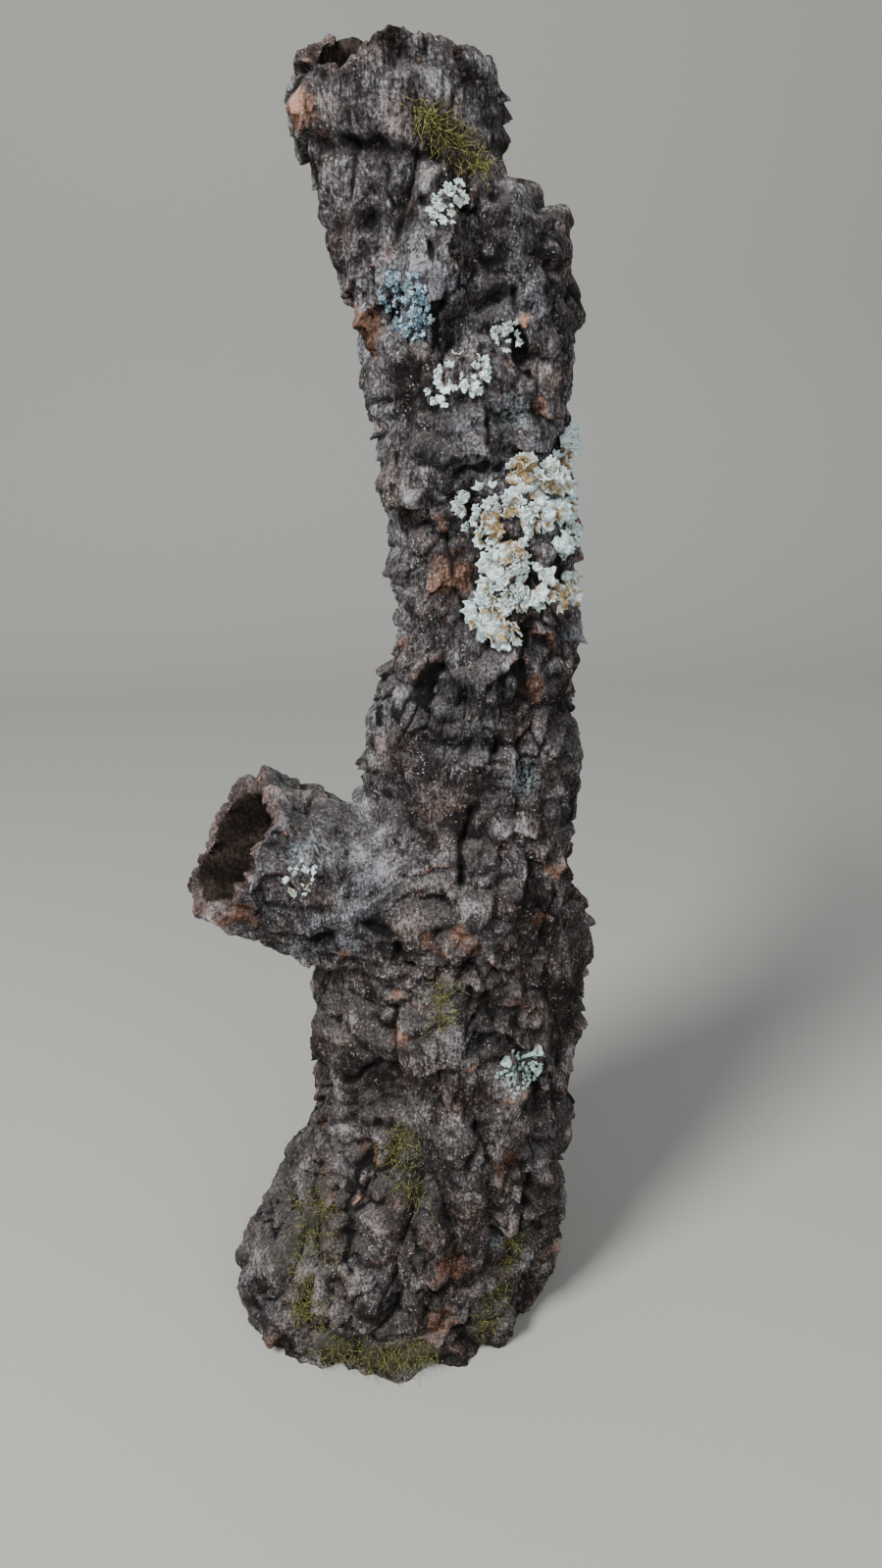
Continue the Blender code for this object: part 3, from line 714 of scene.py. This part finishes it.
def bark_finish():
    """Weathered virgin cork: near-black painted shade in the cracks, troughs, fissures and pits and under the
    ledges, grey-brown scales, paler crests, reddish cork where a scale is off, pale dust with a painted
    highlight on what faces up, black dots of painted shade for tiny pits, and a fine thread along the grain."""
    made, tree, here = new_material("weathered_virgin_cork")
    along = add_node(tree, "ShaderNodeMapping", Vector=here, Scale=(1, 1, 0.24)).outputs[0]
    threads = noise_at(tree, along, 1.1 * MM, 4.0, 0.7, 0.8)
    crumbs = noise_at(tree, here, 1.3 * MM, 4.0, 0.7)
    blotches = noise_at(tree, here, 9 * MM, 4.0, 0.6)
    areas = noise_at(tree, here, 17 * MM, 2.0, 0.5)
    hues = noise_at(tree, here, 24 * MM, 4.0, 0.65)
    clouds = noise_at(tree, here, 42 * MM, 3.0, 0.5)
    tone = math_node(tree, "ADD", times(tree, attribute(tree, "crest"), 0.6), 0.2)
    for pattern, weight in ((crumbs, 1.35), (threads, 1.5), (blotches, 1.2), (areas, 1.1)):
        tone = math_node(tree, "ADD", tone, swing(tree, pattern, weight))
    places = (0.16, 0.38, 0.54, 0.70, 0.94)
    dull = ramp(tree, tone, list(zip(places, ("#0e0b0b", "#27201d", "#3e3634", "#5d5553", "#a6a1a2"))))
    light = ramp(tree, tone, list(zip(places, ("#1a1516", "#3e393b", "#636166", "#87878d", "#cacbd0"))))
    colour = mix(tree, worn(tree, "pale", clouds, (0.3, 0.5), (0.7, 1.0)), dull, light)
    for tint, stops in (("#d6b5a0", [(0.48, 0.0), (0.64, 0.85)]), ("#c2c8d2", [(0.34, 0.7), (0.46, 0.0)])):
        tinted = mix(tree, 1.0, colour, tint, "MULTIPLY")
        colour = mix(tree, ramp(tree, hues, stops), colour, tinted)
    red_cork = ramp(tree, tone, [(0.1, "#2c1a12"), (0.45, "#6b4634"), (0.8, "#a47a63")])
    colour = mix(tree, worn(tree, "fresh", crumbs, (0.3, 0.35), (0.6, 0.95)), colour, red_cork)
    pink_here = noise_at(tree, here, 13 * MM, 2.0)
    white_here = noise_at(tree, here, 6 * MM, 2.0)
    pit_shade_here = noise_at(tree, here, 7 * MM, 2.0, 0.5)
    pink = dots(tree, here, 2.3 * MM, 0.18, 0.3, pink_here, [(0.58, 0.0), (0.66, 0.55)])
    pink = math_node(tree, "MAXIMUM", times(tree, pink, 0.75), attribute(tree, "chip"))
    colour = mix(tree, pink, colour, ramp(tree, crumbs, [(0.3, "#a8745c"), (0.7, "#dcb49c")]))
    # Pale dust with a painted highlight of the light from above on what faces up
    dust_and_top_light = worn(tree, "dust_and_top_light", crumbs, (0.35, 0.15), (0.62, 0.9))
    colour = mix(tree, times(tree, dust_and_top_light, 0.42), colour, "#979391")
    white = dots(tree, here, 1.5 * MM, 0.16, 0.28, white_here, [(0.52, 0.0), (0.62, 1.0)])
    colour = mix(tree, times(tree, white, 0.8), colour, "#c6cacb")
    # Painted shade of tiny pits: near-black dots in patches, with no hollow under them
    pit_shade = dots(tree, here, 1.5 * MM, 0.2, 0.34, pit_shade_here, [(0.36, 1.0), (0.45, 0.0)])
    colour = mix(tree, times(tree, pit_shade, 0.85), colour, "#110d0c")
    lichen_film = ramp(tree, blotches, [(0.4, "#7f8d93"), (0.6, "#bccace")])
    colour = mix(tree, worn(tree, "film", crumbs, (0.44, 0.0), (0.58, 0.7)), colour, lichen_film)
    colour = mix(tree, worn(tree, "moss", crumbs, (0.3, 0.2), (0.6, 0.85)), colour, "#34331b")
    # The inside's own brown, made much darker with painted shade as inside a tube
    shaded_inside = ramp(tree, tone, [(0.1, "#120d0b"), (0.5, "#332822"), (0.9, "#5d5047")])
    colour = mix(tree, attribute(tree, "inside"), colour, shaded_inside)
    # Painted shade: cracks, troughs, ledge undersides, fissures and pits darkened towards near black
    crack = ramp(tree, attribute(tree, "painted_shade"), [(0.28, 0.0), (0.74, 0.95)])
    colour = mix(tree, crack, colour, "#0b0807")
    grain = bump(tree, noise_at(tree, here, 3.0 * MM, 5.0, 0.75), 1.0, 2.0 * MM)
    grain = bump(tree, threads, 0.9, 1.0 * MM, Normal=grain)
    grain = bump(tree, noise_at(tree, here, 0.7 * MM, 3.0, 0.6), 0.8, 0.35 * MM, Normal=grain)
    end_material(tree, colour, 0.92, Specular_IOR_Level=0.25, Normal=grain)
    return made


def add_object(name, bm, *materials):
    """A new smooth-shaded object made from bm."""
    mesh = bpy.data.meshes.new(name)
    bm.to_mesh(mesh)
    bm.free()
    for finish in materials:
        mesh.materials.append(finish)
    mesh.polygons.foreach_set("use_smooth", [True] * len(mesh.polygons))
    return put_in(bpy.data.objects.new(name, mesh))


# Moss leaves a green stain on the bark round it: place across and up the front, and radius, in millimetres
MOSS_SPOTS = {
    "top_moss": [(32, 522, 6), (38, 518, 5), (27, 526, 4), (43, 513, 3)],
    "foot_moss": [(-43, 66, 10), (-50, 54, 9), (-38, 80, 7), (-46, 40, 8), (-50, 30, 6)],
    "heel_moss": [(-36, 14, 9), (-22, 12, 8), (-8, 12, 9), (4, 12, 8)],
    "crease_moss": [(50, 62, 5), (48, 48, 5), (42, 34, 6), (36, 22, 7)],
    "fork_moss": [(21, 202, 5), (21, 194, 4), (23, 208, 4)],
    "mound_moss": [(2, 128, 7), (-2, 116, 7), (4, 104, 6)],
}
whole = whole_bark()
bark_tree = BVHTree.FromBMesh(whole)
moss_layer = whole.verts.layers.float["moss"]


def front_point(across, up):
    """The bark seen from the front at across and up, in millimetres: its place in metres and its way out."""
    place, way, _, _ = bark_tree.ray_cast(Vector((across * MM, -0.3, up * MM)), Vector((0, 1, 0)))
    return place, way


stains = [(front_point(x, z)[0] / MM, radius * 1.15)
          for spots in MOSS_SPOTS.values() for x, z, radius in spots]
for vert in whole.verts:
    if vert.co.y < 0:
        stain = near_any(vert.co, stains) + 0.3 * lumps(vert.co, 3 * MM)
        vert[moss_layer] = smooth_step(0.3, 0.8, stain)
cork = bark_finish()
for name in ("lower_trunk", "upper_trunk", "side_limb"):
    piece = add_object(name + "_bark", cut_piece(whole.copy(), name), cork)
    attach(piece, "root")
    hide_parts(name)
whole.free()


# The leafy lichens. Thin dry lobes that overlap like a rosette, greenish white above and tan below, held to
# the bark by their undersides. The largest is on the front right of the upper trunk, and smaller ones sit
# round it.
def lichen_finish(name, light, middle, deep, base=None):
    """Dry lichen skin: a matt, powdery, wrinkled lobe, browner towards its base when base is given."""
    made, tree, here = new_material(name)
    patches = noise_at(tree, here, 3.0 * MM, 4.0, 0.6)
    powder = noise_at(tree, here, 0.6 * MM, 3.0, 0.6)
    tone = math_node(tree, "ADD", patches, swing(tree, powder, 0.9))
    colour = ramp(tree, tone, [(0.3, deep), (0.48, middle), (0.66, light)])
    if base:
        tip = math_node(tree, "ADD", attribute(tree, "tip"), swing(tree, patches, 2.4))
        colour = mix(tree, ramp(tree, tip, [(0.18, 1.0), (0.62, 0.0)]), colour, base)
    end_material(tree, colour, 0.88, Specular_IOR_Level=0.2, Normal=bump(tree, tone, 0.9, 0.6 * MM))
    return made


def any_way(chance, size=1.0):
    """A random vector, up to size along each axis."""
    return Vector([chance.uniform(-size, size) for _ in range(3)])


def spot_in(chance, x, z, radius, spread=0.5, reach=1.0):
    """A random spot in a disc seen from the front, across and up in millimetres."""
    turn, far = chance.uniform(0, 2 * math.pi), chance.random() ** spread * reach
    return x + math.cos(turn) * radius * far, z + math.sin(turn) * radius * far


def add_lobe(bm, foot, out, way, length, width, curl, chance, faded=0.0):
    """One lobe as a thin sheet: a fan that starts at foot, spreads along way and lifts along out."""
    grid = bmesh.ops.create_grid(bm, x_segments=12, y_segments=4, size=0.5)["verts"]
    side = out.cross(way).normalized()
    way = side.cross(out).normalized()
    phase, crimps, open_angle = chance.uniform(0, 6), chance.uniform(2.2, 4.6), chance.uniform(0.9, 1.6)
    ruffle, seed = chance.uniform(0.08, 0.20), (chance.uniform(0, 9), 0, 0)
    tip = bm.verts.layers.float["tip"]
    for vert in grid:
        angle, along = vert.co.x * 2 * open_angle, vert.co.y + 0.5
        margin = 1 - 0.26 * abs(math.cos(crimps * angle + phase)) - 0.09 * abs(math.cos(9 * angle + phase))
        reach = (0.12 + 0.88 * along) * (1 + (margin - 1) * along ** 2)
        forward = length * (reach * math.cos(angle * 0.85) - 0.10)
        aside = width * 0.62 * reach * math.sin(angle)
        place = foot + side * aside + way * forward
        lift = length * along ** 2 * (curl + ruffle * math.sin(crimps * 2 * angle + phase))
        lift += 0.15 * length * lumps(place, 1.5 * MM, seed)
        vert.co = place + out * lift
        vert[tip] = along * (1 - 0.8 * faded) + 0.27 * (1 - faded)


def highest_seat(x, z):
    """Where a lobe's foot goes, on the highest grains of the bark round a spot, and the way out there."""
    foot, out = front_point(x, z)
    if foot is None:
        return None, None
    level = foot.y
    for a, b in ((2, 0), (-2, 0), (0, 2), (0, -2), (0, 5), (0, -5), (4, 2)):
        beside = front_point(x + a, z + b)[0]
        if beside and abs(beside.y - foot.y) < 8 * MM:
            level = min(level, beside.y)
    return Vector((foot.x, (foot.y + 3 * level) / 4, foot.z)), out


def thicken(piece, thickness):
    """Gives thin sheets their thickness, inwards from the side that they face."""
    skin = piece.modifiers.new("thickness", "SOLIDIFY")
    skin.thickness = thickness
    skin.offset = -1
    return skin


# Each lichen: its discs on the bark, across and up the front and radius, then how many lobes it has, their
# length and how much they curl up, in millimetres
LEAFY = {
    "leafy_lichen": ([(44, 402, 11), (50, 393, 10), (51, 382, 7), (62, 403, 10), (57, 413, 6), (69, 411, 6),
                      (73, 398, 7), (74, 385, 6), (59, 372, 9), (59, 371, 6), (48, 368, 7), (43, 360, 6),
                      (50, 356, 5), (71, 368, 6), (76, 419, 4)], 380, 4.7, 0.22),
    "shelf_lichen": ([(38, 448, 7.5), (29, 443, 5)], 34, 3.6, 0.24),
    "small_lichen": ([(52, 459, 5)], 16, 3.0, 0.24),
    "limb_lichen": ([(-32, 265, 6)], 22, 2.6, 0.05),
    "blue_lichen": ([(17, 474, 8.5), (20, 466, 7)], 150, 2.0, 0.14),
    "top_lichen": ([(35, 504, 4.5), (31, 499, 5)], 40, 2.6, 0.20),
}
# The large lichen: the middles that its lobes spread from, where it has withered to tan, and the wide flat
# lobes that it starts with
ROSETTES = [(52, 396), (59, 372)]
TAN = [(50, 395, 7), (56, 413, 7), (71, 367, 7), (67, 407, 4), (52, 384, 5), (47, 364, 3)]
FLAT_LOBES = 100
FLAT_LENGTH = 7.2
FLAT_LIFT = 0.35
LOBE_THICKNESS = 0.45 * MM
leafy_top = lichen_finish("lichen_upper_skin", "#ecfdff", "#d6eaeb", "#a4b2ad", "#a58d68")
leafy_under = lichen_finish("lichen_underside", "#c0a682", "#8d7350", "#4b3a29")
blue_top = lichen_finish("blue_lichen_skin", "#c6deea", "#7291a1", "#3c4e59", "#414f57")
for name, (discs, count, size, curl) in LEAFY.items():
    large = name == "leafy_lichen"
    chance = random.Random(name)
    lobes = bmesh.new()
    lobes.verts.layers.float.new("tip")
    seats = [front_point(x, z)[0] for x, z, _ in discs]
    middles = [sum(seats, Vector()) / len(seats)]
    if large:
        middles = [front_point(*spot)[0] for spot in ROSETTES]
    made = tries = 0
    while made < count and tries < count * 8:
        tries += 1
        x, z = spot_in(chance, *discs[chance.randrange(len(discs))], reach=0.92)
        foot, out = highest_seat(x, z)
        if foot is None or (foot - seats[0]).length > 60 * MM:
            continue
        out = (out * 0.7 + Vector((0, -0.72, 0.09)) + any_way(chance, 0.25)).normalized()
        radial = min((foot - middle for middle in middles), key=lambda gap: gap.length)
        share = min(1.0, radial.length / (15 * MM if large else 9 * MM))
        away = radial.normalized() + any_way(chance) * (0.8 - 0.5 * share)
        flat = large and made < FLAT_LOBES
        long = (FLAT_LENGTH if flat else size) * MM * chance.uniform(0.65, 1.25)
        wide = long * chance.uniform(0.85, 1.4)
        lift = curl * chance.uniform(0.3, 1.8) * (1.3 - 0.9 * share) * (FLAT_LIFT if flat else 1.0)
        faded = 0.0
        if large:
            faded = max(math.exp(-((x - a) ** 2 + (z - b) ** 2) / reach ** 2) for a, b, reach in TAN)
        # A few lobes stand up and turn back, so that their tan undersides show
        if not flat and chance.random() < (0.16 if large else 0.10):
            out = (out * 0.5 + away.normalized() * 0.5 + Vector((0, 0, -0.3))).normalized()
            away, lift = -away, lift + 0.5
        foot = foot + out * chance.uniform(0.1, 1.7) * MM * (1.3 - 0.7 * share)
        add_lobe(lobes, foot, out, away, long, wide, lift, chance, faded)
        made += 1
    upper = blue_top if name == "blue_lichen" else leafy_top
    lichen = add_object(name + "_lobes", lobes, leafy_under, upper)
    skin = thicken(lichen, LOBE_THICKNESS)
    skin.material_offset = skin.material_offset_rim = 1
    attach(lichen, "root")
    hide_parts(name)


# The cup lichen. A tuft of tiny scales with a few pale trumpets on stems, on the right of the lower trunk. It
# is dry, powdery and greenish white, and grows from a cushion on the bark.
# Each trumpet: its place across and up the front, where its mouth is from there, and the mouth's radius
CUPS = [((55, 163), (7.5, -5.5, 8.0), 2.3), ((53, 162), (-5.0, -5.5, 4.5), 2.6),
        ((58, 157), (4.0, -6.0, 1.0), 2.0), ((56, 156), (-4.0, -5.5, -3.0), 1.8)]
CUP_STEM = 0.9
TUFTS = [(53, 161, 9), (56, 156, 8)]
TUFT_SCALES = 46
SCALE_THICKNESS = 0.4 * MM


def add_trumpet(cups, foot, tip, mouth, x, z):
    """One trumpet: a thin stem from foot to tip that widens to a wavy rim and turns down inside it."""
    length = (tip - foot).length
    stages = [(0.3, CUP_STEM * 0.85), (0.6, CUP_STEM * 1.1), (0.82, mouth * 0.7), (0.95, mouth * 0.95),
              (1.0, mouth), (0.985, mouth * 0.86), (0.9, mouth * 0.62), (0.8, mouth * 0.3)]
    stem = bmesh.new()
    bmesh.ops.create_circle(stem, segments=18, radius=CUP_STEM * MM, cap_ends=True)
    loop = list(stem.edges)
    for share, radius in stages:
        ring, loop = grow(stem, loop)
        for vert in ring:
            turn = math.atan2(vert.co.y, vert.co.x)
            wavy = 1 + (0.14 * math.sin(3 * turn + x) + 0.07 * math.sin(7 * turn)) * share ** 3
            vert.co = Vector((math.cos(turn), math.sin(turn), 0)) * radius * wavy * MM
            vert.co.z = share * length + 0.35 * MM * math.sin(2 * turn + z) * share ** 4
    bmesh.ops.edgenet_fill(stem, edges=loop)
    bmesh.ops.recalc_face_normals(stem, faces=stem.faces)
    lean = (tip - foot).to_track_quat("Z", "Y").to_matrix()
    bmesh.ops.rotate(stem, verts=stem.verts, cent=(0, 0, 0), matrix=lean)
    bmesh.ops.translate(stem, verts=stem.verts, vec=foot)
    held = bpy.data.meshes.new("trumpet")
    stem.to_mesh(held)
    stem.free()
    cups.from_mesh(held)


chance = random.Random("cups")
tuft = bmesh.new()
tuft.verts.layers.float.new("tip")
for disc in TUFTS:
    for _ in range(TUFT_SCALES):
        foot, out = front_point(*spot_in(chance, *disc))
        if foot is None:
            continue
        away = any_way(chance)
        long, wide = chance.uniform(1.3, 2.8) * MM, chance.uniform(1.1, 2.4) * MM
        stand = (out + away * 0.3).normalized()
        add_lobe(tuft, foot + out * 0.5 * MM, stand, away, long, wide, chance.uniform(0.3, 0.9), chance)
cups = bmesh.new()
for (x, z), way, mouth in CUPS:
    place = front_point(x, z)[0]
    add_trumpet(cups, place + Vector((0, 1.2, 0)) * MM, place + Vector(way) * MM, mouth, x, z)
cup_skin = lichen_finish("cup_lichen_skin", "#d6ebe5", "#adc5bd", "#6f857e")
scales = add_object("cup_lichen_scales", tuft, cup_skin)
thicken(scales, SCALE_THICKNESS)
trumpets = add_object("cup_lichen_trumpets", cups, cup_skin)
for piece in (scales, trumpets):
    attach(piece, "root")
    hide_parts("cup_lichen")


# The moss. Dry strands a few millimetres long, olive and yellow-green, in loose tufts near the top, on the
# foot, in the right crease, by the fork and on the lower front. They grow out of cracks in the bark.
MOSS_COUNTS = {"top_moss": 340, "foot_moss": 620, "heel_moss": 560, "crease_moss": 320, "fork_moss": 150,
               "mound_moss": 240}
STRAND_RADIUS = 0.17 * MM
FLOOR_CLEAR = 0.3 * MM


def moss_finish():
    """Dry moss: olive to yellow-green strands, browner in places."""
    made, tree, here = new_material("dry_moss")
    stops = [(0.3, "#332b17"), (0.43, "#57532c"), (0.55, "#84824a"), (0.68, "#bcb883")]
    colour = ramp(tree, noise_at(tree, here, 1.1 * MM, 3.0, 0.7), stops)
    end_material(tree, colour, 0.9, Specular_IOR_Level=0.2)
    return made


def add_strand(strands, foot, out, chance):
    """One strand of moss: it grows out of the bark, droops and ends in a thin tip above the floor."""
    way = (out * chance.uniform(0.15, 0.9) + any_way(chance) * 0.8 + Vector((0, 0, -0.25))).normalized()
    bend = any_way(chance) * 0.5 - out * 0.35
    long = chance.uniform(2.5, 9) * MM
    line = strands.splines.new("POLY")
    line.points.add(4)
    for i, point in enumerate(line.points):
        share = i / 4
        spot = foot - out * 0.4 * MM + way * long * share + bend * long * share * share
        spot.z = max(spot.z, FLOOR_CLEAR)
        point.co = (*spot, 1)
        point.radius = 1.0 - 0.7 * share


moss_green = moss_finish()
for name, spots in MOSS_SPOTS.items():
    chance = random.Random(name)
    strands = bpy.data.curves.new(name, "CURVE")
    strands.dimensions = "3D"
    strands.bevel_depth = STRAND_RADIUS
    strands.bevel_resolution = 0
    strands.use_fill_caps = True
    for _ in range(MOSS_COUNTS[name]):
        disc = spots[chance.randrange(len(spots))]
        foot, out = front_point(*spot_in(chance, *disc, spread=0.8, reach=1.35))
        if foot is not None:
            add_strand(strands, foot, out, chance)
    tufts = shaped(bpy.data.objects.new(name, strands))
    # The caps of the strands are joined to their sides
    bmesh.ops.remove_doubles(tufts, verts=tufts.verts, dist=0.0005 * MM)
    moss = add_object(name + "_strands", tufts, moss_green)
    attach(moss, "root")
    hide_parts(name)


# The floor and the backdrop. One plain pale matt sheet that the branch stands on. It lies flat in front and
# curves up behind, so that it has no edge in view.
FLOOR_HALF = 4.0
FLOOR_FRONT = -5.0
BACK_AT = 0.9
BACK_TOP = 3.0
CURVE = 0.45
CURVE_STEPS = 12
sheet = bmesh.new()
rows = [(FLOOR_FRONT, 0.0)]
for step in range(CURVE_STEPS + 1):
    turn = math.pi / 2 * step / CURVE_STEPS
    rows.append((BACK_AT + CURVE * math.sin(turn), CURVE - CURVE * math.cos(turn)))
rows.append((BACK_AT + CURVE, BACK_TOP))
made = bmesh.ops.create_grid(sheet, x_segments=1, y_segments=len(rows) - 1, size=0.5)["verts"]
for vert in made:
    y, z = rows[round((vert.co.y + 0.5) * (len(rows) - 1))]
    vert.co = (vert.co.x * 2 * FLOOR_HALF, y, z - 0.2 * MM)
pale_sheet, tree, _ = new_material("pale_backdrop")
end_material(tree, "#b2b2ac", 0.95)
add_object("backdrop", sheet, pale_sheet)


# The light and the camera. Soft light from above and the upper left with a weak fill from the front, and a
# camera in front of the branch that looks down on it.
CAMERA_PLACE = (0.024, -0.464, 0.484)
CAMERA_PITCH = math.radians(24)
CAMERA_ROLL = math.radians(2)
SENSOR = 36
FOCAL_SHARE = 1201 / 1599
# Each lamp: its place, the place that it points at, its width and its power
LAMPS = {"above_left": ((-0.75, -0.85, 1.45), (0, 0, 0.3), 0.5, 38),
         "front_fill": ((0.6, -1.3, 0.7), (0, 0, 0.25), 1.2, 8)}
for name, (place, towards, size, power) in LAMPS.items():
    light = bpy.data.lights.new(name, "AREA")
    light.shape = "DISK"
    light.size = size
    light.energy = power
    lamp = put_in(bpy.data.objects.new(name, light))
    lamp.location = place
    lamp.rotation_euler = (Vector(towards) - Vector(place)).to_track_quat("-Z", "Y").to_euler()
world = bpy.data.worlds.new("soft_room")
bpy.context.scene.world = world
world.use_nodes = True
world.node_tree.nodes["Background"].inputs["Color"].default_value = linear("#dfe3ea")
world.node_tree.nodes["Background"].inputs["Strength"].default_value = 0.46

forward = Vector((0, math.cos(CAMERA_PITCH), -math.sin(CAMERA_PITCH)))
right, up = Vector((1, 0, 0)), Vector((0, math.sin(CAMERA_PITCH), math.cos(CAMERA_PITCH)))
across = right * math.cos(CAMERA_ROLL) - up * math.sin(CAMERA_ROLL)
above = right * math.sin(CAMERA_ROLL) + up * math.cos(CAMERA_ROLL)
lens = bpy.data.cameras.new("camera")
lens.sensor_width = SENSOR
lens.lens = FOCAL_SHARE * SENSOR
camera = put_in(bpy.data.objects.new("camera", lens))
turned = Matrix((across, above, -forward)).transposed().to_4x4()
camera.matrix_world = Matrix.Translation(CAMERA_PLACE) @ turned
bpy.context.scene.camera = camera
